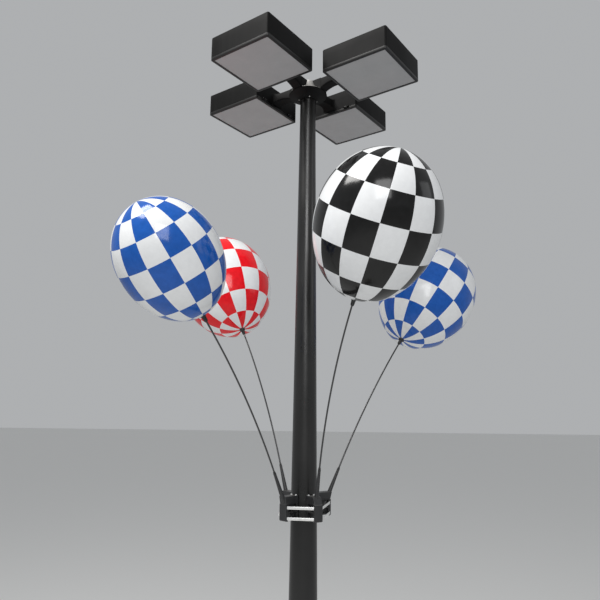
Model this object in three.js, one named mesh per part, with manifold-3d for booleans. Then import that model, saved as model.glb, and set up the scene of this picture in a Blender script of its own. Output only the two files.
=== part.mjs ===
// Light pole with four lamp heads and a band-mounted display of four checked balloons on curved rods.
// Millimetres, +Z up. The origin is the centre of the pier's underside, on the pole's axis.
// +X is to the right and -Y is the front.
import * as THREE from 'three';
import { mergeVertices } from 'three/addons/utils/BufferGeometryUtils.js';
import Module from 'manifold-3d';

const wasm = await Module();
wasm.setup();

// Driving dimensions
const FIT = 0.3; // gap between pieces that touch
const PIER = { radius: 355, height: 760, chamfer: 25 };
const GROUT = { side: 370, height: 25 };
const PLATE = { side: 340, corner: 30, height: 30, boltOffset: 122 };
const STUD = { radius: 13.5, height: 62, nutRadius: 24, nutHeight: 26 };
const POLE = { topRadius: 61, radiusPerMetre: 10.35, wall: 4, sides: 40 };
const HANDHOLE = { azimuth: 60, above: 450, width: 80, height: 130, rim: 14, cover: 3, cutDepth: 60 };
const HUB = { bottom: 6728, rimLow: 6774, rimHigh: 6783, rim: 153, top: 6872, lobe: 42 };
const HEAD = { side: 533, height: 179, centre: 580, bottom: 6750, corner: 16, wall: 3, edge: 7, yaw: 9.62 };
const DOOR = { height: 20, border: 16, lip: 5, lipHeight: 2.5 };
const LENS = { thickness: 6 };
const HINGE = { standOff: 8, radius: 6, offset: 170, doorLength: 26, earLength: 13, gap: 0.6, leaf: 9 };
// Arm: the neck's radius, and heights and half-widths at its start, neck and end
const ARM = {
  neck: 250, tuck: 12, undersides: [6781, 6805, 6781], tops: [6872, 6872, 6882], halfWidths: [42, 43, 60],
};
const BRACKET = {
  width: 64, bottom: 3526, shoulder: 3638, top: 3690, outer: 217, chamfer: 8,
  pad: 14, wall: 22, web: 26, ribs: [3538, 3582, 3640], rib: 8, socketRadius: 159.5, socketBase: 3560,
};
const SOCKET = { length: 323, baseRadius: 19.5, topRadius: 9.5, bore: 6.6, floor: 14 };
const BAND = { heights: [3617, 3546], width: 19, thickness: 1.5, reach: 207, bend: 3, ease: 0.5 };
const ROD = { radius: 6, length: 1524, sides: 10, steps: 16 };
const CUP = { below: 30, flangeLow: 14, flangeRadius: 24, plugRadius: 14.6, plugTop: 50, sleeve: 11 };
const BALLOON = { radius: 403, height: 991, blunt: 0.04, wall: 10, neckRadius: 15, stem: 23 };

// radius and height down the cap's flared skirt, from the crown to the rim
const CAP_SKIRT = [
  [44, 6885], [78, 6876], [84, 6868], [92, 6842], [106, 6818], [128, 6797], [150, 6787],
];

// radius and height along the hub's bell-shaped underside
const HUB_BELL = [
  [70, 6728], [78, 6742], [96, 6756], [122, 6767],
];

// name, azimuth from the centre in degrees
const HEADS = [
  { name: 'front_left', azimuth: 225 },
  { name: 'front_right', azimuth: 315 },
  { name: 'back_left', azimuth: 135 },
  { name: 'back_right', azimuth: 45 },
];

// name, azimuth, socket tilt from vertical and bend along the free rod in degrees, balloon size and colour
const SETS = [
  { name: 'left', azimuth: 227.9, tilt: 26.3, bend: 14.1, size: 0.806, colour: 0x1d4fa3 },
  { name: 'rear', azimuth: 131.2, tilt: 20.2, bend: 13.7, size: 1, colour: 0xd8202a },
  { name: 'front', azimuth: 297.9, tilt: 11.5, bend: 20.4, size: 1, colour: 0x151515 },
  { name: 'right', azimuth: 34.3, tilt: 28.0, bend: 10.1, size: 1, colour: 0x1d4fa3 },
];

const FINISH = {
  concrete: { color: 0xb9b6ae, roughness: 0.95, metalness: 0 },
  grout: { color: 0x9a978f, roughness: 0.95, metalness: 0 },
  darkPaint: { color: 0x2b2b2b, roughness: 0.5, metalness: 0.3 },
  blackPaint: { color: 0x161616, roughness: 0.55, metalness: 0.3 },
  galvanised: { color: 0x8d9092, roughness: 0.5, metalness: 0.9 },
  stainless: { color: 0xe4e4e2, roughness: 0.22, metalness: 1 },
  blackPlastic: { color: 0x222222, roughness: 0.55, metalness: 0 },
  fibreglass: { color: 0x1c1c1c, roughness: 0.4, metalness: 0 },
  glass: { color: 0x8d8d8d, roughness: 0.6, metalness: 0 },
};

const rad = THREE.MathUtils.degToRad;
const part = new THREE.Group();

// Radius of the tapered pole's outside at a height
function poleRadius(z) {
  return POLE.topRadius + ((HUB.bottom - z) * POLE.radiusPerMetre) / 1000;
}

// A closed mesh as a solid that can be cut and joined
function solid(geometry) {
  const bare = geometry.clone();
  bare.deleteAttribute('normal');
  bare.deleteAttribute('uv');
  const merged = mergeVertices(bare, 1e-4);
  const mesh = new wasm.Mesh({
    numProp: 3,
    vertProperties: new Float32Array(merged.attributes.position.array),
    triVerts: new Uint32Array(merged.index.array),
  });
  return new wasm.Manifold(mesh);
}

// The solid back as a geometry
function geometryOf(manifold) {
  const mesh = manifold.getMesh();
  const geometry = new THREE.BufferGeometry();
  geometry.setAttribute('position', new THREE.BufferAttribute(new Float32Array(mesh.vertProperties), 3));
  geometry.setIndex(new THREE.BufferAttribute(new Uint32Array(mesh.triVerts), 1));
  return geometry;
}

// One named piece with its own material
function piece(parent, name, geometry, finish, colour) {
  const material = new THREE.MeshStandardMaterial(finish);
  if (colour !== undefined) material.color.setHex(colour);
  const mesh = new THREE.Mesh(geometry, material);
  mesh.name = name;
  parent.add(mesh);
  return mesh;
}

// A group whose +X points along an azimuth in degrees
function spoke(azimuth, radius = 0) {
  const turn = new THREE.Group();
  turn.rotation.z = rad(azimuth);
  const slide = new THREE.Group();
  slide.position.x = radius;
  turn.add(slide);
  part.add(turn);
  return slide;
}

// A solid of revolution about Z from [radius, height] pairs
function turned(profile, sides) {
  const points = profile.map(([r, z]) => new THREE.Vector2(r, z));
  return new THREE.LatheGeometry(points, sides).rotateX(Math.PI / 2);
}

// A square outline with round corners
function roundedSquare(side, corner, sides = 4) {
  const half = side / 2;
  const points = [];
  for (let quarter = 0; quarter < 4; quarter += 1) {
    const middle = new THREE.Vector2(half - corner, half - corner).rotateAround(
      new THREE.Vector2(), (quarter * Math.PI) / 2);
    for (let i = 0; i <= sides; i += 1) {
      const angle = (quarter + i / sides) * (Math.PI / 2);
      points.push(new THREE.Vector2(Math.cos(angle), Math.sin(angle)).multiplyScalar(corner).add(middle));
    }
  }
  return points;
}

// An outline raised from one height to another
function raised(points, low, high, holes = []) {
  const shape = new THREE.Shape(points);
  shape.holes = holes.map((hole) => new THREE.Path(hole));
  return new THREE.ExtrudeGeometry(shape, { depth: high - low, bevelEnabled: false }).translate(0, 0, low);
}

// A side outline in radius and height, given a width across Y
function slab(profile, width) {
  const points = profile.map(([r, z]) => new THREE.Vector2(r, z));
  const shape = new THREE.Shape(points);
  const geometry = new THREE.ExtrudeGeometry(shape, { depth: width, bevelEnabled: false });
  return geometry.rotateX(Math.PI / 2).translate(0, width / 2, 0);
}

// A cylinder or cone along a direction, from a start point
function rodOf(start, direction, length, startRadius, endRadius, sides) {
  const geometry = new THREE.CylinderGeometry(endRadius, startRadius, length, sides);
  geometry.translate(0, length / 2, 0);
  const turn = new THREE.Quaternion().setFromUnitVectors(new THREE.Vector3(0, 1, 0), direction);
  return geometry.applyQuaternion(turn).translate(start.x, start.y, start.z);
}

function circle(radius, sides, x = 0, y = 0) {
  const points = [];
  for (let i = 0; i < sides; i += 1) {
    const angle = (i / sides) * 2 * Math.PI;
    points.push(new THREE.Vector2(x + radius * Math.cos(angle), y + radius * Math.sin(angle)));
  }
  return points;
}

// The outline of a cord pulled tight round some points
function hull(points) {
  const sorted = [...points].sort((a, b) => a.x - b.x || a.y - b.y);
  const half = (list) => {
    const line = [];
    for (const p of list) {
      while (line.length > 1) {
        const [a, b] = line.slice(-2);
        if ((b.x - a.x) * (p.y - a.y) - (b.y - a.y) * (p.x - a.x) > 1e-9) break;
        line.pop();
      }
      line.push(p);
    }
    return line.slice(0, -1);
  };
  return [...half(sorted), ...half(sorted.reverse())];
}

// Concrete pier, grout, base plate with its anchor studs and nuts
function buildBase() {
  const { radius, height, chamfer } = PIER;
  piece(part, 'pier', turned([
    [0, 0], [radius, 0], [radius, height - chamfer], [radius - chamfer, height], [0, height],
  ], 48), FINISH.concrete);

  const groutLow = height + FIT;
  const groutHigh = height + GROUT.height;
  const grout = raised(roundedSquare(GROUT.side, PLATE.corner), groutLow, groutHigh);
  piece(part, 'grout_pad', grout, FINISH.grout);

  const plateLow = groutHigh + FIT;
  const plateHigh = plateLow + PLATE.height;
  let plate = solid(raised(roundedSquare(PLATE.side, PLATE.corner), plateLow, plateHigh));
  for (const [sx, sy] of [[1, 1], [-1, 1], [-1, -1], [1, -1]]) {
    const x = sx * PLATE.boltOffset;
    const y = sy * PLATE.boltOffset;
    const nut = raised(circle(STUD.nutRadius, 6, x, y), plateHigh - 1, plateHigh + STUD.nutHeight);
    const stud = raised(circle(STUD.radius, 12, x, y), plateHigh - 1, plateHigh + STUD.height);
    plate = plate.add(solid(nut)).add(solid(stud));
  }
  piece(part, 'base_plate', geometryOf(plate), FINISH.galvanised);
  return plateHigh + FIT;
}

// Tapered tube with a handhole near its foot, and the hole's cover
function buildPole(foot) {
  const outer = poleRadius(foot);
  const tip = poleRadius(HUB.rimHigh);
  const profile = [
    [outer, foot], [tip, HUB.rimHigh], [tip - POLE.wall, HUB.rimHigh],
    [outer - POLE.wall, foot], [outer, foot],
  ];
  const middle = foot + HANDHOLE.above;
  const opening = (width, height) => {
    const outline = new THREE.Shape(roundedSquare(width, width * 0.45).map((p) => new THREE.Vector2(
      p.x, p.y + Math.sign(p.y) * (height - width) / 2)));
    const cut = new THREE.ExtrudeGeometry(outline, { depth: outer + HANDHOLE.cutDepth, bevelEnabled: false });
    cut.rotateX(Math.PI / 2).rotateZ(Math.PI / 2 + rad(HANDHOLE.azimuth)).translate(0, 0, middle);
    return solid(cut);
  };
  const shaft = solid(turned(profile, POLE.sides)).subtract(opening(HANDHOLE.width, HANDHOLE.height));
  piece(part, 'pole_shaft', geometryOf(shaft), FINISH.darkPaint);

  const low = middle - HANDHOLE.height;
  const high = middle + HANDHOLE.height;
  const near = FIT + HANDHOLE.cover;
  const skin = [
    [poleRadius(low) + near, low], [poleRadius(high) + near, high],
    [poleRadius(high) + FIT, high], [poleRadius(low) + FIT, low], [poleRadius(low) + near, low],
  ];
  const wide = HANDHOLE.width + 2 * HANDHOLE.rim;
  const tall = HANDHOLE.height + 2 * HANDHOLE.rim;
  const cover = solid(turned(skin, POLE.sides)).intersect(opening(wide, tall));
  piece(part, 'handhole_cover', geometryOf(cover), FINISH.darkPaint);
}

// Two crossed bars through the axis, in line with the arms
function crossBars(halfWidth, low, high) {
  const bars = [45, 135].map((azimuth) => solid(new THREE.BoxGeometry(2 * HUB.rim, 2 * halfWidth, high - low)
    .rotateZ(rad(azimuth + HEAD.yaw)).translate(0, 0, (low + high) / 2)));
  return bars[0].add(bars[1]);
}

// Bell-shaped collar round the pole's top with four lobes for the arms, and the flared cap on it
function buildHub() {
  const { bottom, rimLow, rimHigh, rim, top, lobe } = HUB;
  const bore = poleRadius(bottom) + FIT;
  const bell = solid(turned([
    [bore, bottom], ...HUB_BELL, [rim, rimLow], [rim, rimHigh], [bore, rimHigh], [bore, bottom],
  ], POLE.sides));
  const hole = solid(turned([[0, bottom], [bore, bottom], [bore, top + 1], [0, top + 1]], POLE.sides));
  const lobes = crossBars(lobe, rimLow + 1, top).subtract(hole);
  piece(part, 'hub', geometryOf(bell.add(lobes)), FINISH.blackPaint);

  const seat = rimHigh + FIT;
  const [rimRadius] = CAP_SKIRT.at(-1);
  const [, crown] = CAP_SKIRT[0];
  const skirt = solid(turned([
    [0, seat], [rimRadius, seat], ...CAP_SKIRT.toReversed(), [0, crown],
  ], POLE.sides));
  const plug = solid(turned([
    [0, seat], [bore - FIT, seat], [bore - FIT, crown], [0, crown],
  ], POLE.sides));
  const cap = skirt.subtract(crossBars(lobe + FIT, rimLow, top + FIT)).add(plug);
  piece(part, 'pole_cap', geometryOf(cap), FINISH.galvanised);
}

// Arm between the hub's lobe and the head's inner side, waisted in plan and in side view. It meets the
// head above the lens door.
function armGeometry() {
  const start = HUB.rim + FIT;
  const end = HEAD.centre - HEAD.side / 2 - FIT;
  const { neck, tuck, undersides, tops, halfWidths } = ARM;
  const bowed = (low, high) => {
    const outline = new THREE.Shape();
    outline.moveTo(start, low[0]);
    outline.quadraticCurveTo((start + neck) / 2, low[1], neck, low[1]);
    outline.quadraticCurveTo(end - tuck, low[1], end, low[2]);
    outline.lineTo(end, high[2]);
    outline.quadraticCurveTo(end - tuck, high[1], neck, high[1]);
    outline.quadraticCurveTo((start + neck) / 2, high[1], start, high[0]);
    return outline.getPoints(5);
  };
  const plan = bowed(halfWidths.map((w) => -w), halfWidths);
  const sides = bowed(undersides, tops).map((p) => [p.x, p.y]);
  const fromAbove = solid(raised(plan, HUB.bottom, HEAD.bottom + HEAD.height));
  return geometryOf(fromAbove.intersect(solid(slab(sides, HEAD.side))));
}

// Barrels across Y at the hinge line, with leaves that reach to the head
function knuckles(middles, length, leafLow, leafHigh, reach) {
  let all = null;
  for (const y of middles) {
    const start = new THREE.Vector3(0, y - length / 2, 0);
    const barrel = solid(rodOf(start, new THREE.Vector3(0, 1, 0), length, HINGE.radius, HINGE.radius, 12));
    const leaf = new THREE.BoxGeometry(reach, length, leafHigh - leafLow)
      .translate(reach / 2, y, (leafLow + leafHigh) / 2);
    const joined = barrel.add(solid(leaf));
    all = all ? all.add(joined) : joined;
  }
  return all;
}

// Lamp housing, open below, with its hinge ears; the inner side faces -X
function housingGeometry(doorTop, top) {
  const half = HEAD.side / 2;
  const outline = roundedSquare(HEAD.side, HEAD.corner);
  const body = solid(lofted([
    [outline, doorTop + FIT], [outline, top - HEAD.edge],
    [roundedSquare(HEAD.side - 2 * HEAD.edge, HEAD.corner - HEAD.edge), top],
  ]));
  const inside = roundedSquare(HEAD.side - 2 * HEAD.wall, HEAD.corner - HEAD.wall);
  const hollow = raised(inside, doorTop - 1, top - HEAD.edge - HEAD.wall);
  const step = HINGE.doorLength / 2 + HINGE.gap + HINGE.earLength / 2;
  const places = [-1, 1].flatMap((s) => [s * HINGE.offset - step, s * HINGE.offset + step]);
  const ears = knuckles(places, HINGE.earLength, FIT, HINGE.leaf, HINGE.standOff + 1)
    .translate([-half - HINGE.standOff, 0, doorTop]);
  return geometryOf(body.subtract(solid(hollow)).add(ears));
}

// A closed skin through [outline, height] sections that have the same number of points
function lofted(sections) {
  const count = sections[0][0].length;
  const positions = sections.flatMap(([points, z]) => points.flatMap((p) => [p.x, p.y, z]));
  const index = [];
  for (let level = 0; level < sections.length - 1; level += 1) {
    for (let i = 0; i < count; i += 1) {
      const low = level * count;
      const next = (i + 1) % count;
      index.push(low + i, low + next, low + count + next, low + i, low + count + next, low + count + i);
    }
  }
  const last = (sections.length - 1) * count;
  for (const [a, b, c] of THREE.ShapeUtils.triangulateShape(sections[0][0], [])) index.push(c, b, a);
  for (const [a, b, c] of THREE.ShapeUtils.triangulateShape(sections.at(-1)[0], [])) {
    index.push(last + a, last + b, last + c);
  }
  const geometry = new THREE.BufferGeometry();
  geometry.setAttribute('position', new THREE.Float32BufferAttribute(positions, 3));
  geometry.setIndex(index);
  return geometry;
}

// Door frame with a lip that the lens rests on, and its hinge barrels
function doorGeometry(doorTop) {
  const half = HEAD.side / 2;
  const opening = HEAD.side - 2 * DOOR.border;
  const corner = 4;
  const outline = roundedSquare(HEAD.side, HEAD.corner);
  const lipHole = roundedSquare(opening - 2 * DOOR.lip, corner).reverse();
  const frame = solid(raised(outline, HEAD.bottom, doorTop, [lipHole]));
  const pocket = solid(raised(roundedSquare(opening, corner), HEAD.bottom + DOOR.lipHeight, doorTop + 1));
  const places = [-HINGE.offset, HINGE.offset];
  const barrels = knuckles(places, HINGE.doorLength, -HINGE.leaf, -FIT, HINGE.standOff + 1)
    .translate([-half - HINGE.standOff, 0, doorTop]);
  return geometryOf(frame.subtract(pocket).add(barrels));
}

// Four heads: arm, housing, door frame and lens
function buildHeads() {
  const doorTop = HEAD.bottom + DOOR.height;
  const top = HEAD.bottom + HEAD.height;
  const lensLow = HEAD.bottom + DOOR.lipHeight + FIT;
  for (const { name, azimuth } of HEADS) {
    const turn = azimuth + HEAD.yaw;
    piece(spoke(turn), `arm_${name}`, armGeometry(), FINISH.blackPaint);
    const head = spoke(turn, HEAD.centre);
    piece(head, `housing_${name}`, housingGeometry(doorTop, top), FINISH.darkPaint);
    piece(head, `door_${name}`, doorGeometry(doorTop), FINISH.blackPaint);
    const lens = raised(
      roundedSquare(HEAD.side - 2 * DOOR.border - 2 * FIT, 4), lensLow, lensLow + LENS.thickness);
    piece(head, `lens_${name}`, lens, FINISH.glass);
  }
}

// Where a socket starts and the way it points, in the plane of its own azimuth
function socketAxis(tilt) {
  return {
    base: new THREE.Vector3(BRACKET.socketRadius, 0, BRACKET.socketBase),
    along: new THREE.Vector3(Math.sin(rad(tilt)), 0, Math.cos(rad(tilt))),
  };
}

// Solid of the pole's outside between two heights, with the fitting gap
function poleCore(low, high) {
  return solid(turned([
    [0, low], [poleRadius(low) + FIT, low], [poleRadius(high) + FIT, high], [0, high],
  ], 60));
}

// Ribbed block between the pole and the bands: a pad, a web, ribs and an outer wall
function blockGeometry(axisAt) {
  const { width, bottom, shoulder, top, outer, chamfer, pad, wall, web, ribs, rib } = BRACKET;
  const inner = POLE.topRadius;
  const crest = Math.max(axisAt(top), outer - wall);
  let block = solid(slab([
    [inner, bottom], [outer - chamfer, bottom], [outer, bottom + chamfer], [outer, shoulder],
    [crest, top], [inner, top],
  ], width));
  const depth = (width - web) / 2;
  const low = poleRadius(bottom) + pad;
  ribs.slice(1).forEach((height, i) => {
    const floor = ribs[i] + rib / 2;
    const ceiling = height - rib / 2;
    for (const side of [-1, 1]) {
      const pocket = new THREE.BoxGeometry(outer - wall - low, depth, ceiling - floor)
        .translate((outer - wall + low) / 2, side * (width - depth) / 2, (floor + ceiling) / 2);
      block = block.subtract(solid(pocket));
    }
  });
  return block;
}

// Moulded bracket with slots for the bands and the tapered socket on it
function bracketGeometry(tilt) {
  const { base, along } = socketAxis(tilt);
  const axisAt = (z) => base.x + ((z - base.z) * along.x) / along.z;
  const sleeveStart = base.clone().addScaledVector(along, -SOCKET.floor);
  const sleeve = solid(rodOf(
    sleeveStart, along, SOCKET.length + SOCKET.floor, SOCKET.baseRadius, SOCKET.topRadius, 20));
  const bore = solid(rodOf(base, along, 2 * SOCKET.length, SOCKET.bore, SOCKET.bore, 12));
  const core = poleCore(BRACKET.bottom - BRACKET.pad, BRACKET.top + BRACKET.pad);
  let bracket = blockGeometry(axisAt).add(sleeve).subtract(bore).subtract(core);
  for (const z of BAND.heights) {
    const slot = new THREE.BoxGeometry(BAND.thickness + 2 * FIT, 2 * BRACKET.width, BAND.width + 2 * FIT)
      .translate(BAND.reach + BAND.thickness / 2, 0, z);
    bracket = bracket.subtract(solid(slot));
  }
  return geometryOf(bracket);
}

// Steel band pulled tight through the brackets' slots and clear of the pole
function bandGeometry(z) {
  const outline = (extra) => {
    const points = circle(poleRadius(z) + FIT + extra, 48);
    for (const { azimuth } of SETS) {
      for (const side of [-1, 1]) {
        const corner = new THREE.Vector2(BAND.reach - BAND.bend, side * (BRACKET.width / 2 + BAND.ease));
        corner.rotateAround(new THREE.Vector2(), rad(azimuth));
        points.push(...circle(BAND.bend + extra, 20, corner.x, corner.y)
          .map((p) => p.rotateAround(corner, rad(azimuth))));
      }
    }
    return hull(points);
  };
  return raised(outline(BAND.thickness), z - BAND.width / 2, z + BAND.width / 2, [outline(0).reverse()]);
}

// A rod: straight in its socket, then one even bend away from the pole
class RodCurve extends THREE.Curve {
  constructor(tilt, bend) {
    super();
    this.tilt = rad(tilt);
    this.straight = SOCKET.length + 2;
    this.turning = rad(bend) / (ROD.length - this.straight);
  }

  at(distance) {
    const { base, along } = socketAxis(THREE.MathUtils.radToDeg(this.tilt));
    const point = base.addScaledVector(along, Math.min(distance, this.straight));
    const bent = Math.max(distance - this.straight, 0);
    const angle = this.tilt + this.turning * bent;
    point.x += (Math.cos(this.tilt) - Math.cos(angle)) / this.turning;
    point.z += (Math.sin(angle) - Math.sin(this.tilt)) / this.turning;
    return { point, angle };
  }

  getPoint(t) {
    return this.at(FIT + t * (ROD.length - FIT)).point;
  }
}

// Balloon envelope as a shell with an open neck, at a size; its foot is at z = 0
function balloonGeometry(size) {
  const { blunt, wall, neckRadius } = BALLOON;
  const radius = BALLOON.radius * size;
  const height = BALLOON.height * size;
  const skin = (inset, rings, turnStart) => {
    const points = [];
    for (let i = 0; i <= rings; i += 1) {
      const angle = turnStart + (Math.PI - turnStart) * (i / rings);
      const r = (radius - inset) * Math.sin(angle) * (1 - blunt * Math.cos(angle));
      const z = height / 2 - (height / 2 - inset) * Math.cos(angle);
      points.push([Math.max(r, 0), z]);
    }
    points[rings][0] = 0;
    return points;
  };
  const start = (inset) => Math.asin(neckRadius / ((radius - inset) * (1 - blunt)));
  const outer = skin(0, 13, start(0));
  const inner = skin(wall, 9, start(wall));
  outer[0][0] = neckRadius;
  inner[0][0] = neckRadius;
  return turned([...outer, ...inner.reverse(), outer[0]], 26);
}

// Cup on the rod's end that plugs the balloon's neck; the rod ends at z = 0
function cupGeometry() {
  const bore = ROD.radius + 0.6;
  const flangeTop = BALLOON.stem - FIT;
  return turned([
    [0, FIT], [bore, FIT], [bore, -CUP.below], [CUP.sleeve, -CUP.below], [CUP.sleeve + 2, CUP.flangeLow - 6],
    [CUP.flangeRadius, CUP.flangeLow], [CUP.flangeRadius, flangeTop], [CUP.plugRadius, flangeTop],
    [CUP.plugRadius, CUP.plugTop - 4], [CUP.plugRadius - 4, CUP.plugTop], [0, CUP.plugTop],
  ], 20);
}

// Bands, and the four balloon sets
function buildDisplay() {
  BAND.heights.forEach((z, i) => {
    piece(part, `band_${['upper', 'lower'][i]}`, bandGeometry(z), FINISH.stainless);
  });
  for (const { name, azimuth, tilt, bend, size, colour } of SETS) {
    const set = spoke(azimuth);
    piece(set, `bracket_${name}`, bracketGeometry(tilt), FINISH.blackPlastic);
    const curve = new RodCurve(tilt, bend);
    const rod = new THREE.ExtrudeGeometry(new THREE.Shape(circle(ROD.radius, ROD.sides)), {
      steps: ROD.steps, extrudePath: curve, bevelEnabled: false });
    piece(set, `rod_${name}`, rod, FINISH.fibreglass);
    const end = curve.at(ROD.length);
    const tip = new THREE.Group();
    tip.position.copy(end.point);
    tip.rotation.y = end.angle;
    set.add(tip);
    piece(tip, `cup_${name}`, cupGeometry(), FINISH.blackPlastic);
    const balloon = piece(tip, `balloon_${name}`, balloonGeometry(size), {
      color: 0xffffff, roughness: 0.2, metalness: 0 }, colour);
    balloon.position.z = BALLOON.stem;
  }
}

const foot = buildBase();
buildPole(foot);
buildHub();
buildHeads();
buildDisplay();

export default part;
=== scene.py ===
# Looks for a light pole with four lamp heads and a ring of four checked balloons on bowed rods.
# Metres, +Z up and -Y the front. Sizes repeat those of the solid model, which this script dresses.
from math import asin, atan2, cos, degrees, hypot, pi, radians, sin, sqrt, tau
from types import SimpleNamespace as Values

import bmesh
import bpy
from mathutils import Matrix, Vector
from mathutils.geometry import convex_hull_2d


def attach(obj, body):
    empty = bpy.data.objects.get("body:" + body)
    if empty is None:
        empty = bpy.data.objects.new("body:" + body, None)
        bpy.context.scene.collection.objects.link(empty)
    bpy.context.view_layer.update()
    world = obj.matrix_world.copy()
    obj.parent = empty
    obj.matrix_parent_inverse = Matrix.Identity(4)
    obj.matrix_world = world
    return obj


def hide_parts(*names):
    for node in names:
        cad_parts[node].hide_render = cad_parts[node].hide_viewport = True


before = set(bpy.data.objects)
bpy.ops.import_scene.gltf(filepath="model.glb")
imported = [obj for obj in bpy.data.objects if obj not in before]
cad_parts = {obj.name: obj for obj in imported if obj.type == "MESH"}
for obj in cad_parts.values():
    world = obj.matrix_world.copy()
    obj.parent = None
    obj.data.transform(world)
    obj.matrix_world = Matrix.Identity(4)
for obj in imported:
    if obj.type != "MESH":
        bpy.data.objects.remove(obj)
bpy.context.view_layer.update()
shift = Matrix.Translation

CAMERA = Values(place=(0, -4.392, 4.305), yaw=0.59, pitch=10.24, roll=0.68, lens=35.24)
FLOOR = Values(half=100, colour=(0.8, 0.8, 0.79, 1), roughness=0.9)
WORLD = Values(colour=(0.88, 0.9, 0.92, 1), strength=0.48)
# place, aim, width, height, power, colour
LIGHTS = {
    "key": ((-4.6, -3.1, 12.5), (0.1, -0.6, 5.4), 4, 4, 800, (1, 0.985, 0.96)),
    "front": ((0.1, -9.2, 8.9), (0, 0, 5.6), 4, 4.6, 360, (1, 1, 1)),
    "window": ((8, -2.2, 8.2), (0.5, -0.9, 5.4), 3, 3.6, 36, (0.96, 0.98, 1)),
}

FIT = 0.0003
PIER = Values(radius=0.355, height=0.76, chamfer=0.025, levels=240, sides=128)
SPIRAL = Values(pitch=0.19, ridge=0.0014, half_width=0.005)
GROUT = Values(side=0.37, height=0.025)
PLATE = Values(side=0.34, corner=0.03, height=0.03, bolt_offset=0.122, edge=0.0025)
PLATE_LOW = PIER.height + GROUT.height + FIT
PLATE_HIGH = PLATE_LOW + PLATE.height
STUD = Values(radius=0.0135, height=0.062, pitch=0.0035, depth=0.0018)
NUT = Values(radius=0.024, height=0.026, washer=0.028, washer_height=0.004, turn=0.4)
POLE = Values(foot=PLATE_HIGH + FIT, top_radius=0.061, per_metre=0.01035, wall=0.004, sides=96, weld=0.009)
SEAM = Values(azimuth=96, half_width=0.0042, rise=0.0009, levels=120)
HANDHOLE = Values(azimuth=60, above=0.45, width=0.108, height=0.158, corner=0.036, cover=0.003, screw=0.062)
HUB = Values(bottom=6.728, rim_low=6.774, rim_high=6.783, rim=0.153, top=6.872, lobe=0.042)
# radius and height along the hub's underside, down the cap's skirt, over its crown, and of their screws
HUB_BELL = ((0.0625, 6.728), (0.069, 6.7285), (0.072, 6.733), (0.078, 6.742), (0.086, 6.75), (0.096, 6.756),
            (0.11, 6.7625), (0.125, 6.7675), (0.14, 6.771), (0.149, 6.773), (0.152, 6.775), (0.153, 6.778))
CAP_SKIRT = ((0.0842, 6.8723), (0.0842, 6.867), (0.0855, 6.861), (0.0875, 6.853), (0.0905, 6.844),
             (0.095, 6.834), (0.101, 6.824), (0.109, 6.8145), (0.119, 6.805), (0.13, 6.797), (0.142, 6.791),
             (0.149, 6.788), (0.15, 6.7865), (0.15, 6.785), (0.149, 6.7835))
CAP_CROWN = ((0.076, 6.8725), (0.078, 6.874), (0.0775, 6.8765), (0.074, 6.8785), (0.062, 6.882),
             (0.044, 6.8845), (0.02, 6.885))
HUB_SCREW = (0.0735, 6.737)
CAP_SCREW = (0.052, 6.8828)
HEAD = Values(side=0.533, height=0.179, centre=0.58, bottom=6.75, corner=0.016)
HOUSING = Values(wall=0.003, edge=0.01, panel=0.0016)
DOOR = Values(height=0.02, border=0.016, lip=0.005, lip_height=0.0025, edge=0.0025, screw=0.15)
LENS = Values(thickness=0.006, corner=0.004, edge=0.0008)
HINGE = Values(stand_off=0.008, radius=0.006, offset=0.17, door=0.026, ear=0.013, gap=0.0006, leaf=0.009)
DOOR_TOP = HEAD.bottom + DOOR.height
HEAD_TOP = HEAD.bottom + HEAD.height
HALF_HEAD = HEAD.side / 2
HINGE_LINE = -HALF_HEAD - HINGE.stand_off
LAMP = Values(off_centre=0.15, above_door=0.062)
# heights and half-widths are those at the hub, the neck and the head
ARM = Values(neck=0.25, split=0.55, tuck=0.012, corner=0.012, undersides=(6.781, 6.805, 6.781),
             tops=(6.872, 6.872, 6.882), half_widths=(0.042, 0.043, 0.06))
BRACKET = Values(width=0.064, bottom=3.526, shoulder=3.638, top=3.69, outer=0.217, chamfer=0.008, pad=0.014,
                 wall=0.022, web=0.026, ribs=(3.538, 3.582, 3.64), rib=0.008, bolt=0.021)
SOCKET = Values(radius=0.1595, base=3.56, length=0.323, base_radius=0.0195, top_radius=0.0095, bore=0.0066,
                floor=0.014)
BAND = Values(heights=(3.617, 3.546), width=0.019, thickness=0.0015, reach=0.207, bend=0.003, ease=0.0005)
CLAMP = Values(width=0.03, out=0.013)
ROD = Values(radius=0.006, length=1.524, sides=20, levels=64)
CUP = Values(below=0.03, flange_low=0.014, flange=0.024, plug=0.0146, plug_top=0.05, sleeve=0.011, fins=12)
BALLOON = Values(radius=0.403, height=0.991, blunt=0.04, neck=0.015, stem=0.023, pleats=28, levels=96)
# steps are mesh steps in a column; first_row and row are angles in degrees, from the neck
CHECKS = Values(columns=14, steps=12, first_row=28, row=24, rows=(-1, 5))

# the direction of each head's arm, in degrees
HEADS = {"front_left": 234.62, "front_right": 324.62, "back_left": 144.62, "back_right": 54.62}
# angles in degrees; start is where the checks start round the balloon
SETS = {
    "left": Values(azimuth=227.9, tilt=26.3, bend=14.1, size=0.806, colour="blue", start=29.5),
    "rear": Values(azimuth=131.2, tilt=20.2, bend=13.7, size=1, colour="red", start=10.8),
    "front": Values(azimuth=297.9, tilt=11.5, bend=20.4, size=1, colour="black", start=45.5),
    "right": Values(azimuth=34.3, tilt=28, bend=10.1, size=1, colour="blue", start=11),
}
INK = {"blue": (0.006, 0.078, 0.35), "red": (0.66, 0.002, 0.008), "black": (0.003, 0.003, 0.003)}
WHITE_VINYL = (0.78, 0.79, 0.8)
QUARTERS = ((1, 1), (-1, 1), (-1, -1), (1, -1))


# Forms: a form is a list of points and a list of faces, in metres


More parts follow.
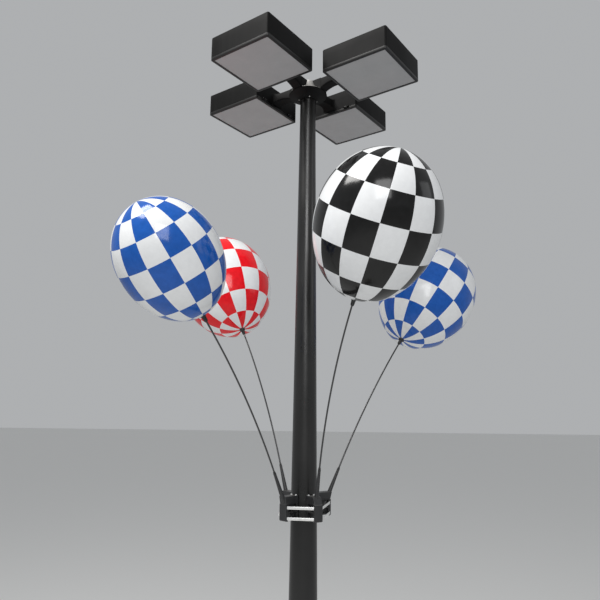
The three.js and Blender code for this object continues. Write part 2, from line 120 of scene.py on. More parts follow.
def turns(count):
    """Angles at equal steps round a circle."""
    return [tau * i / count for i in range(count)]


def polar(radius, angle, z):
    return Vector((radius * cos(angle), radius * sin(angle), z))


def circle(radius, z, sides):
    return [polar(radius, angle, z) for angle in turns(sides)]


def square(width, corner, z=0, steps=5, depth=None):
    """Points of a level square with round corners, or of a rectangle if a depth is given."""
    half_x = width / 2 - corner
    half_y = (depth or width) / 2 - corner
    points = []
    for quarter, (sx, sy) in enumerate(QUARTERS):
        for i in range(steps + 1):
            angle = (quarter + i / steps) * pi / 2
            points.append(Vector((sx * half_x + corner * cos(angle), sy * half_y + corner * sin(angle), z)))
    return points


def lofted(rings, closed=False):
    """A skin through rings of points, capped unless it closes on itself."""
    count = len(rings[0])
    levels = len(rings)
    faces = []
    for level in range(levels if closed else levels - 1):
        low = level * count
        high = (level + 1) % levels * count
        for i in range(count):
            j = (i + 1) % count
            faces.append((low + i, low + j, high + j, high + i))
    if not closed:
        faces.append(tuple(reversed(range(count))))
        faces.append(tuple(range((levels - 1) * count, levels * count)))
    return [point for ring in rings for point in ring], faces


def turned(profile, sides, closed=False):
    """A solid of revolution about Z through (radius, height) pairs."""
    return lofted([circle(r, z, sides) for r, z in profile], closed)


def extruded(outline, low, high):
    """A level outline raised between two heights."""
    return lofted([[Vector((p.x, p.y, z)) for p in outline] for z in (low, high)])


def slab(profile, width):
    """A side outline of (x, z) pairs given a width across Y."""
    return lofted([[Vector((x, y, z)) for x, z in profile] for y in (-width / 2, width / 2)])


def block(size, centre):
    """A box by its three sides and its centre."""
    outline = square(size[0], 0, steps=1, depth=size[1])[::2]
    return moved(extruded(outline, -size[2] / 2, size[2] / 2), shift(centre))


def moved(form, matrix):
    return [matrix @ p for p in form[0]], form[1]


def joined(*forms):
    points = []
    faces = []
    for some_points, some_faces in forms:
        start = len(points)
        points += some_points
        faces += [tuple(start + i for i in face) for face in some_faces]
    return points, faces


def softened(form, width, segments=3):
    """The form with its sharp edges rounded."""
    work = bmesh.new()
    corners = [work.verts.new(p) for p in form[0]]
    for face in form[1]:
        work.faces.new([corners[i] for i in face])
    bmesh.ops.recalc_face_normals(work, faces=work.faces)
    sharp = [e for e in work.edges if e.is_manifold and e.calc_face_angle(0) > radians(35)]
    bmesh.ops.bevel(
        work, geom=sharp, offset=width, segments=segments, profile=0.5, affect="EDGES", clamp_overlap=True)
    work.verts.index_update()
    result = ([v.co.copy() for v in work.verts], [tuple(v.index for v in f.verts) for f in work.faces])
    work.free()
    return result


def swept(path, radius, sides):
    """A round tube along points that lie in one XZ plane."""
    rings = []
    for i, point in enumerate(path):
        along = (path[min(i + 1, len(path) - 1)] - path[max(i - 1, 0)]).normalized()
        across = Vector((0, 1, 0))
        up = across.cross(along)
        rings.append([point + radius * (cos(a) * across - sin(a) * up) for a in turns(sides)])
    return lofted(rings)


def spoke(azimuth, radius=0, height=0):
    """The place at a radius and height whose X points along an azimuth in degrees."""
    return Matrix.Rotation(radians(azimuth), 4, "Z") @ shift((radius, 0, height))


def pointing(direction, place=(0, 0, 0)):
    """A place whose Z points along a direction."""
    return shift(place) @ Vector(direction).to_track_quat("Z", "Y").to_matrix().to_4x4()


def add_object(name, data):
    thing = bpy.data.objects.new(name, data)
    bpy.context.scene.collection.objects.link(thing)
    return thing


def add_piece(name, form, look, node=None, body="root", smooth=35, even=False, marks=None, weld=False):
    """One object, riding a body and standing for a node; marks are a map's name and its spots."""
    mesh = bpy.data.meshes.new(name)
    mesh.from_pydata(form[0], [], form[1])
    if marks:
        layer = mesh.uv_layers.new(name=marks[0])
        for loop in mesh.loops:
            layer.data[loop.index].uv = marks[1][loop.vertex_index]
    work = bmesh.new()
    work.from_mesh(mesh)
    if weld:
        bmesh.ops.remove_doubles(work, verts=work.verts, dist=1e-6)
        bmesh.ops.holes_fill(work, edges=[e for e in work.edges if e.is_boundary], sides=0)
    bmesh.ops.recalc_face_normals(work, faces=work.faces)
    work.to_mesh(mesh)
    work.free()
    material, slot = LOOKS[look]
    mesh.materials.append(material)
    mesh.shade_smooth()
    mesh.set_sharp_from_angle(angle=radians(smooth))
    piece = add_object(name, mesh)
    if even:
        piece.modifiers.new("even shading", "WEIGHTED_NORMAL").keep_sharp = True
    if node:
        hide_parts(node)
    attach(piece, body)


# Fasteners


def hexagon(angle):
    """How far out a hexagon's edge lies at an angle, with its corners at 1."""
    return cos(pi / 6) / cos((angle + pi / 6) % (pi / 3) - pi / 6)


def hex_head(radius, height):
    """A nut or bolt head with turned-off corners."""
    levels = ((0, 0.94), (height * 0.12, 1), (height * 0.88, 1), (height, 0.9))
    return lofted([[polar(radius * min(hexagon(a), most), a, z) for a in turns(36)] for z, most in levels])


def threaded(low, high):
    """A stud with a helical thread and a chamfered tip."""
    sides, pitch, depth = 24, STUD.pitch, STUD.depth
    count = int((high - low) / pitch * 8)
    rings = []
    for level in range(count + 1):
        z = low + (high - low) * level / count
        tip = max(0, z - (high - pitch)) / pitch * depth
        ring = []
        for i, angle in enumerate(turns(sides)):
            inset = depth * abs(2 * ((z / pitch - i / sides) % 1) - 1)
            ring.append(polar(STUD.radius - max(inset, tip), angle, z))
        rings.append(ring)
    return lofted(rings)


def socket_screw(radius, height):
    """A button-head screw with a hexagon recess."""
    # shares of radius and height
    dome = ((1, 0), (1, 0.25), (0.86, 0.72), (0.62, 0.97), (0.48, 1))
    recess = ((0.44, 0.98), (0.42, 0.3))
    rings = [circle(radius * r, height * z, 24) for r, z in dome]
    rings += [[polar(radius * r * hexagon(a), a, height * z) for a in turns(24)] for r, z in recess]
    return lofted(rings)


# Materials


def feed(node, inputs):
    """Sets a node's inputs to values, or links them to other nodes' outputs."""
    for key, value in inputs.items():
        if isinstance(value, bpy.types.NodeSocket):
            node.id_data.links.new(value, node.inputs[key])
        else:
            node.inputs[key].default_value = value


def shader_of(look):
    return look.node_tree.nodes["Principled BSDF"]


def new_look(name, **values):
    """A material, with its shader's values by socket name."""
    look = bpy.data.materials.new(name)
    look.use_nodes = True
    feed(shader_of(look), {k.replace("_", " ").title().replace("Ior", "IOR"): v for k, v in values.items()})
    return look


def shade(look, colour, roughness, normal):
    """The material with its colour, roughness and relief."""
    feed(shader_of(look), {"Base Color": colour, "Roughness": roughness, "Normal": normal})
    return look


def put(look, kind, inputs, **attributes):
    """The first output of a new node."""
    node = look.node_tree.nodes.new("ShaderNode" + kind)
    for key, value in attributes.items():
        setattr(node, key, value)
    feed(node, inputs)
    return node.outputs[0]


def place_of(look):
    """The place on the object, in metres."""
    return put(look, "TexCoord", {}).node.outputs["Object"]


def axis_of(look, vector, axis):
    return put(look, "SeparateXYZ", {"Vector": vector}).node.outputs[axis]


def noise(look, scale, detail=3, rough=0.55, stretch=(1, 1, 1)):
    """Cloudy values from 0 to 1, with stretch as how fast each axis runs."""
    vector = put(look, "Mapping", {"Vector": place_of(look), "Scale": stretch})
    return put(look, "TexNoise", {"Vector": vector, "Scale": scale, "Detail": detail, "Roughness": rough})


def cells(look, scale, feature="F1"):
    return put(look, "TexVoronoi", {"Vector": place_of(look), "Scale": scale}, feature=feature)


def spread(look, value, low, high, out_low=0, out_high=1):
    """A value taken from one range to another."""
    return put(look, "MapRange", {
        "Value": value, "From Min": low, "From Max": high, "To Min": out_low, "To Max": out_high})


def middle(look, value, out_low=0, out_high=1):
    """The middle of a noise's range, taken to another range."""
    return spread(look, value, 0.3, 0.7, out_low, out_high)


def toned(colour, share):
    return tuple(v * share for v in colour)


def mix(look, amount, first, second):
    """Two colours mixed by an amount."""
    first, second = [colour + (1,) if isinstance(colour, tuple) else colour for colour in (first, second)]
    return put(look, "MixRGB", {"Fac": amount, "Color1": first, "Color2": second})


def sums(look, operation, *values):
    return put(look, "Math", dict(enumerate(values)), operation=operation)


def bump(look, height, distance, strength, **under):
    return put(look, "Bump", {"Height": height, "Distance": distance, "Strength": strength, **under})


def facing_up(look):
    """1 where a surface faces up and 0 where it is upright or faces down."""
    normal = put(look, "NewGeometry", {}).node.outputs["Normal"]
    return spread(look, axis_of(look, normal, "Z"), 0.3, 0.9)


def paint(name, colour, dust, rough, shine):
    """Powder coat: orange peel, rain streaks, dust on what faces up and worn gloss."""
    look = new_look(name, ior=1.5, specular_ior_level=shine)
    streaks = noise(look, 14, 5, 0.6, (1, 1, 0.06))
    clouds = noise(look, 3, 4)
    grime = spread(look, noise(look, 40, 5), 0.35, 0.7, 0.25, 0.8)
    settled = sums(look, "MULTIPLY", facing_up(look), grime)
    amount = sums(look, "MAXIMUM", settled, spread(look, streaks, 0.52, 0.82, 0, 0.16))
    tone = mix(look, middle(look, clouds), colour, toned(colour, 1.35))
    worn = sums(look, "MULTIPLY", amount, 0.3)
    peel = bump(look, noise(look, 260, 2), 0.00012, 0.5)
    return shade(
        look,
        mix(look, amount, tone, dust),
        sums(look, "ADD", middle(look, clouds, rough - 0.06, rough + 0.08), worn),
        bump(look, noise(look, 9, 2), 0.0006, 0.25, Normal=peel))


def galvanised():
    """Hot-dip zinc with crystals of several greys and white bloom."""
    look = new_look("galvanised", metallic=0.85)
    grey = put(look, "RGBToBW", {"Color": cells(look, 90).node.outputs["Color"]})
    tone = mix(look, grey, (0.36, 0.37, 0.38), (0.56, 0.57, 0.58))
    bloom = spread(look, noise(look, 22, 6, 0.65), 0.52, 0.75, 0, 0.6)
    return shade(
        look,
        mix(look, bloom, tone, (0.68, 0.68, 0.67)),
        sums(look, "ADD", spread(look, grey, 0, 1, 0.32, 0.5), sums(look, "MULTIPLY", bloom, 0.3)),
        bump(look, noise(look, 150, 4), 0.0003, 0.5))


def bright_steel(name, colour, rough):
    """Rolled or turned bright metal with fine lines and light smears."""
    look = new_look(name, metallic=1)
    lines = noise(look, 60, 2, 0.5, (1, 1, 40))
    smears = noise(look, 25, 4)
    dull = spread(look, smears, 0.4, 0.7, 0, 0.08)
    return shade(
        look,
        mix(look, spread(look, smears, 0.35, 0.7), colour, toned(colour, 0.82)),
        sums(look, "ADD", middle(look, lines, rough - 0.05, rough + 0.08), dull),
        bump(look, lines, 0.00008, 0.6))


def moulded(name, colour, rough, grain=0.00015, coat=0):
    """Moulded plastic or rubber with a fine grain, flow clouds and pale scuffs."""
    look = new_look(name, ior=1.5, coat_weight=coat, coat_roughness=0.2)
    flow = noise(look, 18, 4)
    scuffs = spread(look, noise(look, 120, 6, 0.7, (1, 1, 0.4)), 0.62, 0.74, 0, 0.5)
    tone = mix(look, middle(look, flow), colour, toned(colour, 1.5))
    dusty = sums(look, "MAXIMUM", scuffs, sums(look, "MULTIPLY", facing_up(look), 0.35))
    return shade(
        look,
        mix(look, dusty, tone, (0.16, 0.155, 0.15)),
        middle(look, flow, rough - 0.05, rough + 0.07),
        bump(look, noise(look, 900, 2), grain, 0.5))


def fibreglass():
    """Pultruded rod: long fibres under a smooth resin, laid along the rod by its map."""
    look = new_look("fibreglass", coat_weight=0.5, coat_roughness=0.12, ior=1.5)
    along = put(look, "UVMap", {}, uv_map="fibres")
    vector = put(look, "Mapping", {"Vector": along, "Scale": (16, 0.8, 1)})
    fibres = put(look, "TexNoise", {"Vector": vector, "Scale": 1, "Detail": 3, "Roughness": 0.6})
    light = spread(look, fibres, 0.35, 0.7)
    return shade(
        look,
        mix(look, light, (0.014, 0.014, 0.015), (0.03, 0.03, 0.031)),
        middle(look, fibres, 0.3, 0.48),
        bump(look, fibres, 0.00006, 0.5))


def concrete():
    """Cast concrete with sand, pores, laitance and a splash zone."""
    look = new_look("concrete", specular_ior_level=0.3)
    height = axis_of(look, place_of(look), "Z")
    sand = noise(look, 340, 4, 0.7)
    clouds = middle(look, noise(look, 5, 6, 0.6))
    tone = mix(look, clouds, (0.4, 0.385, 0.355), (0.6, 0.585, 0.55))
    speckled = mix(look, spread(look, sand, 0.3, 0.75, 0, 0.35), tone, (0.25, 0.24, 0.22))
    pores = spread(look, cells(look, 75), 0, 0.16, 1, 0)
    few = sums(look, "MULTIPLY", pores, spread(look, noise(look, 30, 2), 0.5, 0.58))
    pored = mix(look, few, speckled, (0.16, 0.15, 0.14))
    splash = sums(look, "MULTIPLY", spread(look, height, 0.02, 0.24, 0.55, 0), noise(look, 9, 5))
    sandy = bump(look, sand, 0.0008, 0.7)
    return shade(
        look,
        mix(look, splash, pored, (0.19, 0.17, 0.14)),
        spread(look, sand, 0.2, 0.8, 0.78, 0.96),
        bump(look, sums(look, "MULTIPLY", few, -1), 0.004, 1, Normal=sandy))


def mortar():
    """Trowelled grout with sweep marks and hairline cracks."""
    look = new_look("grout", specular_ior_level=0.3)
    clouds = noise(look, 12, 6, 0.65)
    cracks = spread(look, cells(look, 14, "DISTANCE_TO_EDGE"), 0, 0.012, 1, 0)
    tone = mix(look, middle(look, clouds), (0.27, 0.26, 0.24), (0.42, 0.405, 0.375))
    return shade(
        look,
        mix(look, sums(look, "MULTIPLY", cracks, 0.7), tone, (0.1, 0.095, 0.09)),
        middle(look, clouds, 0.8, 0.95),
        bump(look, noise(look, 60, 3, 0.6, (1, 0.2, 1)), 0.0012, 0.7))


def frosted_glass():
    look = new_look("lens_glass", ior=1.5, specular_ior_level=0.9)
    dust = spread(look, noise(look, 7, 5, 0.6), 0.35, 0.75)
    return shade(
        look,
        mix(look, dust, (0.33, 0.33, 0.335), (0.365, 0.365, 0.368)),
        middle(look, noise(look, 20, 3), 0.36, 0.48),
        bump(look, cells(look, 240), 0.0006, 0.35))


def hammered_aluminium():
    look = new_look("reflector", metallic=1)
    dents = cells(look, 95, "SMOOTH_F1")
    return shade(
        look,
        mix(look, dents, (0.8, 0.81, 0.82), (0.66, 0.67, 0.69)),
        middle(look, noise(look, 30, 3), 0.14, 0.26),
        bump(look, dents, 0.0012, 0.8))


def lamp_glass():
    look = new_look("lamp_glass", ior=1.5, coat_weight=0.8, coat_roughness=0.04)
    return shade(
        look,
        mix(look, noise(look, 30, 3), (0.74, 0.74, 0.72), (0.86, 0.86, 0.84)),
        middle(look, noise(look, 50, 3), 0.12, 0.22),
        bump(look, noise(look, 30, 2), 0.0002, 0.3))


def checked_vinyl(name, ink):
    """Glossy balloon skin: checks from the map's cells, faint ripples, a mottled print and light dust."""
    look = new_look("vinyl_" + name, specular_ior_level=0, coat_weight=1, coat_roughness=0.14, coat_ior=1.4)
    cell = put(look, "UVMap", {}, uv_map="checks")
    low, high = CHECKS.rows
    row = sums(look, "FLOOR", axis_of(look, cell, "Y"))
    row = sums(look, "MINIMUM", sums(look, "MAXIMUM", row, low), high)
    column = sums(look, "FLOOR", axis_of(look, cell, "X"))
    printed = sums(look, "LESS_THAN", sums(look, "FLOORED_MODULO", sums(look, "ADD", row, column), 2), 0.5)
    mottle = spread(look, noise(look, 26, 5, 0.6), 0.3, 0.75)
    inked = mix(look, mottle, ink, tuple(v * 1.25 + 0.004 for v in ink))
    bare = mix(look, mottle, WHITE_VINYL, toned(WHITE_VINYL, 0.93))
    specks = spread(look, noise(look, 60, 6, 0.7), 0.45, 0.75, 0, 0.04)
    dust = sums(look, "MULTIPLY", facing_up(look), specks)
    return shade(
        look,
        mix(look, dust, mix(look, printed, bare, inked), (0.45, 0.43, 0.4)),
        sums(look, "ADD", spread(look, mottle, 0, 1, 0.2, 0.3), dust),
        bump(look, noise(look, 7, 2), 0.0025, 0.22))


rubber = moulded("black_rubber", (0.01, 0.01, 0.01), 0.7)
# each look's material, and the slot of the record that it finishes
LOOKS = {
    "concrete": (concrete(), "concrete"),
    "grout": (mortar(), "grout"),
    "galvanised": (galvanised(), "galvanised"),
    "pole": (paint("pole_paint", (0.007, 0.0068, 0.0066), (0.05, 0.048, 0.045), 0.3, 0.55), "pole_paint"),
    "hub": (paint("hub_paint", (0.003, 0.003, 0.003), (0.03, 0.029, 0.028), 0.55, 0.12), "hub_paint"),
    "head": (paint("head_paint", (0.005, 0.005, 0.0051), (0.04, 0.039, 0.038), 0.46, 0.06), "head_paint"),
    "door": (paint("door_paint", (0.005, 0.005, 0.0051), (0.04, 0.04, 0.039), 0.4, 0.4), "door_paint"),
    # the cap's light grey metal is a painted highlight: it stands for the sky and sun reflected on the dark
    # hub's top
    "cap_painted_highlight": (bright_steel("cap_metal", (0.62, 0.6, 0.57), 0.4), "cap_metal"),
    "lens": (frosted_glass(), "lens"),
    "reflector": (hammered_aluminium(), "head_paint"),
    "lamp": (lamp_glass(), "lens"),
    "porcelain": (moulded("porcelain", (0.62, 0.61, 0.58), 0.25, 0.00005, 0.6), "lens"),
    "stainless": (bright_steel("stainless", (0.95, 0.95, 0.94), 0.42), "stainless"),
    "zinc": (bright_steel("zinc_screw", (0.62, 0.62, 0.6), 0.32), "stainless"),
    "brass": (bright_steel("brass", (0.6, 0.42, 0.17), 0.3), "cap_metal"),
    "plastic": (moulded("black_plastic", (0.018, 0.018, 0.019), 0.46), "black_plastic"),
    "neck": (moulded("neck_collar", (0.42, 0.42, 0.41), 0.38, 0.00008, 0.3), "black_plastic"),
    "rubber": (rubber, "black_plastic"),
    "mitre": (rubber, "door_paint"),
    "fibreglass": (fibreglass(), "fibreglass"),
}
LOOKS.update({colour: (checked_vinyl(colour, ink), "balloon_" + colour) for colour, ink in INK.items()})


# Base and pole


def pole_radius(z):
    return POLE.top_radius + (HUB.bottom - z) * POLE.per_metre


def spiral_ring(z):
    """The pier's outline at a height, with the spiral ridge of its paper tube."""
    ring = []
    for i, angle in enumerate(turns(PIER.sides)):
        from_seam = abs((z / SPIRAL.pitch - i / PIER.sides) % 1 - 0.5) * SPIRAL.pitch
        ring.append(polar(PIER.radius - SPIRAL.ridge * min(1, from_seam / SPIRAL.half_width), angle, z))
    return ring


def add_pier():
    radius, height, chamfer = PIER.radius, PIER.height, PIER.chamfer
    upright, brow = height - chamfer - 0.01, radius - chamfer
    rings = [circle(radius - 0.005, 0, PIER.sides)]
    rings += [spiral_ring(0.004 + upright * i / PIER.levels) for i in range(PIER.levels + 1)]
    brim = ((radius - 0.003, height - chamfer - 0.002), (brow + 0.002, height - 0.003),
            (brow - 0.003, height), (0.2, height))
    rings += [circle(r, z, PIER.sides) for r, z in brim]
    add_piece("pier_concrete", lofted(rings), "concrete", "pier", smooth=50)


def add_grout():
    low = PIER.height + FIT
    high = PIER.height + GROUT.height
    levels = ((low, 0), (low + 0.004, 0.001), (high - 0.006, 0.006), (high - 0.001, 0.012), (high, 0.018))
    rings = [square(GROUT.side - 2 * inset, PLATE.corner, z, 8) for z, inset in levels]
    add_piece("grout_bed", lofted(rings), "grout", "grout_pad", smooth=50)


def add_base_plate():
    plate = extruded(square(PLATE.side, PLATE.corner, 0, 8), PLATE_LOW, PLATE_HIGH)
    add_piece("anchor_plate", softened(plate, PLATE.edge), "galvanised", "base_plate", even=True)
    thick = NUT.washer_height
    washer = softened(turned([(NUT.washer, 0), (NUT.washer, thick)], 40), 0.0008, 2)
    nut = hex_head(NUT.radius, NUT.height - thick)
    stud = threaded(NUT.height - 0.004, STUD.height)
    nuts = []
    studs = []
    for sx, sy in QUARTERS:
        place = shift((sx * PLATE.bolt_offset, sy * PLATE.bolt_offset, PLATE_HIGH))
        tight = moved(nut, shift((0, 0, thick)) @ Matrix.Rotation(sx * NUT.turn, 4, "Z"))
        nuts += [moved(washer, place), moved(tight, place)]
        studs.append(moved(stud, place))
    add_piece("anchor_nuts", joined(*nuts), "galvanised")
    add_piece("anchor_studs", joined(*studs), "galvanised")


def weld_bead(radius, height, size):
    """A rippled fillet weld round a foot at a height."""
    rings = []
    for i, angle in enumerate(turns(150)):
        swell = size * (1 + 0.16 * sin(i * pi / 2.5) + 0.06 * sin(i * 1.7))
        ring = []
        for step in range(7):
            turn = pi / 2 * step / 6
            r = radius + swell * (1 - sin(turn)) * 0.95
            ring.append(polar(r, angle, height + swell * (1 - cos(turn)) * 0.95))
        ring.append(polar(radius - 0.002, angle, height))
        rings.append(ring)
    return lofted(rings, closed=True)


def seam_form(low, high):
    """The dressed weld along the rolled pole, on its X side."""
    rings = []
    for level in range(SEAM.levels + 1):
        z = low + (high - low) * level / SEAM.levels
        ring = [Vector((pole_radius(z) - 0.002, side * SEAM.half_width, z)) for side in (1, -1)]
        for step in range(9):
            across = step / 4 - 1
            y = SEAM.half_width * across
            rise = SEAM.rise * cos(pi / 2 * across) * (1 + 0.15 * sin(level * 1.9))
            ring.append(Vector((sqrt(pole_radius(z) ** 2 - y * y) + rise - 0.0001, y, z)))
        rings.append(ring)
    return lofted(rings)


def add_pole():
    foot = POLE.foot
    heights = [foot + (HUB.rim_high - foot) * i / 24 for i in range(25)]
    outside = [(pole_radius(z), z) for z in heights]
    inside = [(r - POLE.wall, z) for r, z in reversed(outside)]
    add_piece("pole_tube", turned(outside + inside, POLE.sides, closed=True), "pole", "pole_shaft")
    add_piece("foot_weld", weld_bead(pole_radius(foot), foot, POLE.weld), "pole", smooth=60)
    seam = moved(seam_form(foot + 0.008, HUB.bottom - FIT), spoke(SEAM.azimuth))
    add_piece("seam_weld", seam, "pole", smooth=60)


def lid_form(centre):
    """The handhole's cover, bent to the pole's face; X points outwards."""
    thick = HANDHOLE.cover
    # inset of the edge, share of the whole, and height above the pole
    steps = ((0, 1, 0), (0, 1, thick * 0.6), (0.001, 1, thick), (0.004, 1, thick), (0, 0.75, thick),
             (0, 0.3, thick))
    rings = []
    for inset, share, out in steps:
        width = (HANDHOLE.width - 2 * inset) * share
        height = (HANDHOLE.height - 2 * inset) * share
        ring = []
        for p in square(width, min(HANDHOLE.corner, width * 0.45), 0, 8, height):
            ring.append(polar(pole_radius(centre + p.y) + FIT + out, p.x / pole_radius(centre), p.y))
        rings.append(ring)
    return lofted(rings)


def add_handhole():
    centre = POLE.foot + HANDHOLE.above
    place = spoke(HANDHOLE.azimuth, 0, centre)
    add_piece("handhole_lid", moved(lid_form(centre), place), "pole", "handhole_cover", smooth=50)
    screws = []
    for z in (-HANDHOLE.screw, HANDHOLE.screw):
        face = pole_radius(centre + z) + FIT + HANDHOLE.cover - 0.0005
        screw = moved(socket_screw(0.007, 0.0035), pointing((1, 0, 0), (face, 0, z)))
        screws.append(moved(screw, place))
    add_piece("handhole_screws", joined(*screws), "stainless")


# Hub and heads


def add_hub():
    """Bell-shaped casting with four lobes, and its set screws."""
    bore = pole_radius(HUB.bottom) + FIT
    rim = ((HUB.rim, HUB.rim_high - 0.002), (HUB.rim - 0.002, HUB.rim_high), (bore, HUB.rim_high))
    inner = bore + 0.001
    size = (HUB.rim - inner, 2 * HUB.lobe, HUB.top - HUB.rim_low - 0.001)
    lobe = softened(block(size, ((HUB.rim + inner) / 2, 0, HUB.top - size[2] / 2)), 0.004, 4)
    lobes = [moved(lobe, spoke(turn)) for turn in HEADS.values()]
    casting = joined(turned(HUB_BELL + rim, 96, closed=True), *lobes)
    add_piece("hub_casting", casting, "hub", "hub", smooth=40, even=True)
    screw = moved(socket_screw(0.0055, 0.003), pointing((0.85, 0, -0.5)))
    screws = [moved(screw, spoke(turn + 45, *HUB_SCREW)) for turn in HEADS.values()]
    add_piece("hub_screws", joined(*screws), "zinc")


def skirt_form():
    """A quarter of the cap's flared skirt, between two lobes of the hub."""
    side = HUB.lobe + FIT
    rings = []
    for r, z in CAP_SKIRT:
        first = asin(side / r)
        arc = [polar(r, first + (pi / 2 - 2 * first) * i / 14, z) for i in range(15)]
        rings.append([Vector((side, side, z))] + arc)
    return lofted(rings)


def add_cap():
    """Cap, notched for the lobes, of a light grey metal that is a painted highlight: the sky and sun
    reflected on the dark hub's top.
    """
    plug = pole_radius(HUB.bottom)
    forms = [moved(skirt_form(), spoke(turn)) for turn in HEADS.values()]
    forms.append(turned(((plug, HUB.rim_high + FIT), (plug, HUB.top + 0.002)), 64))
    forms.append(turned(CAP_CROWN, 72))
    add_piece("cap_casting", joined(*forms), "cap_painted_highlight", "pole_cap", smooth=50)
    screws = [moved(socket_screw(0.006, 0.003), spoke(azimuth, *CAP_SCREW)) for azimuth in (15, 135, 255)]
    add_piece("cap_screws", joined(*screws), "zinc")


def along_curve(t, start, bend, end):
    return (1 - t) ** 2 * start + 2 * t * (1 - t) * bend + t * t * end


def arm_section(share):
    """Radius, half-width, underside and top of the arm, for 0 at the hub to 1 at the head."""
    start = HUB.rim + FIT
    end = HEAD.centre - HALF_HEAD - FIT
    if share < ARM.split:
        t = share / ARM.split
        r = along_curve(t, start, (start + ARM.neck) / 2, ARM.neck)
        ends = (0, 1, 1)
    else:
        t = (share - ARM.split) / (1 - ARM.split)
        r = along_curve(t, ARM.neck, end - ARM.tuck, end)
        ends = (1, 1, 2)
    sizes = [along_curve(t, *(row[i] for i in ends)) for row in (ARM.half_widths, ARM.undersides, ARM.tops)]
    return r, *sizes


def arm_form():
    rings = []
    for i in range(33):
        r, half_width, low, high = arm_section(i / 32)
        section = square(2 * half_width, ARM.corner, 0, 6, high - low)
        rings.append([Vector((r, p.x, (low + high) / 2 + p.y)) for p in section])
    return lofted(rings)


def head_shell():
    """The lamp housing as one closed skin: down the inside, up the outside and over the top."""
    low = DOOR_TOP + FIT
    wall, edge, panel = HOUSING.wall, HOUSING.edge, HEAD_TOP - HOUSING.panel
    roof = HEAD_TOP - edge - wall
    levels = [(0.24, roof), (wall + 0.01, roof), (wall, roof - 0.01), (wall, low + 0.03), (wall, low)]
    levels += [(0, low), (0, low + 0.05), (0, HEAD_TOP - 0.06), (0, HEAD_TOP - edge)]
    for i in range(1, 7):
        angle = pi / 2 * i / 6
        levels.append((edge * (1 - cos(angle)), HEAD_TOP - edge + edge * sin(angle)))
    levels += [(0.03, HEAD_TOP), (0.036, panel), (0.12, panel), (0.25, panel)]
    return lofted([square(HEAD.side - 2 * i, max(HEAD.corner - i, 0.006), z, 6) for i, z in levels])


def hinge_parts(middles, length, low, high):
    """Barrels across Y on the hinge line, with leaves between two heights from it."""
    reach = HINGE.stand_off + 0.001
    full, less, end = HINGE.radius, HINGE.radius - 0.001, length / 2
    profile = ((less, -end), (full, -end + 0.001), (full, end - 0.001), (less, end))
    forms = []
    for y in middles:
        barrel = moved(turned(profile, 24), pointing((0, 1, 0), (HINGE_LINE, y, DOOR_TOP)))
        leaf = block((reach, length, high - low), (HINGE_LINE + reach / 2, y, DOOR_TOP + (low + high) / 2))
        forms += [barrel, softened(leaf, 0.0008, 2)]
    return forms


def add_housing(name, place):
    step = HINGE.door / 2 + HINGE.gap + HINGE.ear / 2
    middles = [s * HINGE.offset + d for s in (-1, 1) for d in (-step, step)]
    form = joined(head_shell(), *hinge_parts(middles, HINGE.ear, FIT, HINGE.leaf))
    add_piece("head_" + name, moved(form, place), "head", "housing_" + name, smooth=40)


def add_lamp(name, place):
    low = DOOR_TOP + FIT
    roof = HEAD_TOP - 0.018
    side = HEAD.side - 2 * HOUSING.wall - 0.006
    # width and height from the dish's mouth to its roof
    levels = [(side, low + 0.006), (side - 0.02, low + 0.006), (side - 0.05, low + 0.012),
              (side - 0.17, low + 0.075), (side - 0.26, roof - 0.004), (side - 0.34, roof)]
    inside = [square(w, 0.012, z, 4) for w, z in reversed(levels)]
    outside = [square(w, 0.012, z + 0.001, 4) for w, z in levels]
    add_piece("reflector_" + name, moved(lofted(inside + outside), place), "reflector")
    section = ((0.01, 0.0004), (0.01, 0.005), (0.022, 0.005), (0.022, 0.0004))
    seal = [square(HEAD.side - w, 0.014, low + z, 6) for w, z in section]
    add_piece("gasket_" + name, moved(lofted(seal, closed=True), place), "rubber")
    axis = place @ pointing((1, 0, 0), (-LAMP.off_centre, 0, low + LAMP.above_door))
    holder = ((0.02, -0.03), (0.024, -0.027), (0.024, 0.01), (0.029, 0.014), (0.029, 0.036), (0.026, 0.04))
    add_piece("lampholder_" + name, moved(turned(holder, 40), axis), "porcelain")
    bulb = [(0.016, 0.038), (0.018, 0.052), (0.022, 0.075)]
    for i in range(13):
        angle = pi * (0.18 + 0.8 * i / 12)
        bulb.append((0.041 * sin(angle), LAMP.off_centre - 0.075 * cos(angle)))
    add_piece("lamp_" + name, moved(turned(bulb, 40), axis), "lamp", smooth=60)
    base = ((0.0175, 0.036), (0.0175, 0.05))
    add_piece("lamp_base_" + name, moved(turned(base, 32), axis), "brass")


def door_frame():
    low, high = HEAD.bottom, DOOR_TOP
    side, corner, edge = HEAD.side, HEAD.corner, DOOR.edge
    opening = side - 2 * DOOR.border
    inner = opening - 2 * DOOR.lip
    sections = [
        (side - 2 * edge, corner - edge, low), (side - 0.7 * edge, corner - 0.3 * edge, low + 0.3 * edge),
        (side, corner, low + edge), (side, corner, high - 0.001), (side - 0.002, corner - 0.001, high),
        (opening, 0.004, high), (opening, 0.004, low + DOOR.lip_height),
        (inner, 0.004, low + DOOR.lip_height), (inner + 0.001, 0.004, low),
    ]
    return lofted([square(w, c, z, 6) for w, c, z in sections], closed=True)


def mitre_lines():
    """The joints across the door frame's corners."""
    outer = (HALF_HEAD - 0.0045) * sqrt(2)
    inner = (HALF_HEAD - DOOR.border - DOOR.lip) * sqrt(2)
    centre = ((outer + inner) / 2 - 0.002, 0, HEAD.bottom + 0.0004)
    line = block((outer - inner - 0.008, 0.0007, 0.0009), centre)
    return joined(*(moved(line, spoke(azimuth)) for azimuth in (45, 135, 225, 315)))


def lens_pane():
    low = HEAD.bottom + DOOR.lip_height + FIT
    side = HEAD.side - 2 * DOOR.border - 2 * FIT
    edge, thick = LENS.edge, LENS.thickness
    levels = ((edge, 0), (0, edge), (0, thick - edge), (edge, thick))
    return lofted([square(side - 2 * inset, LENS.corner, low + z, 5) for inset, z in levels])


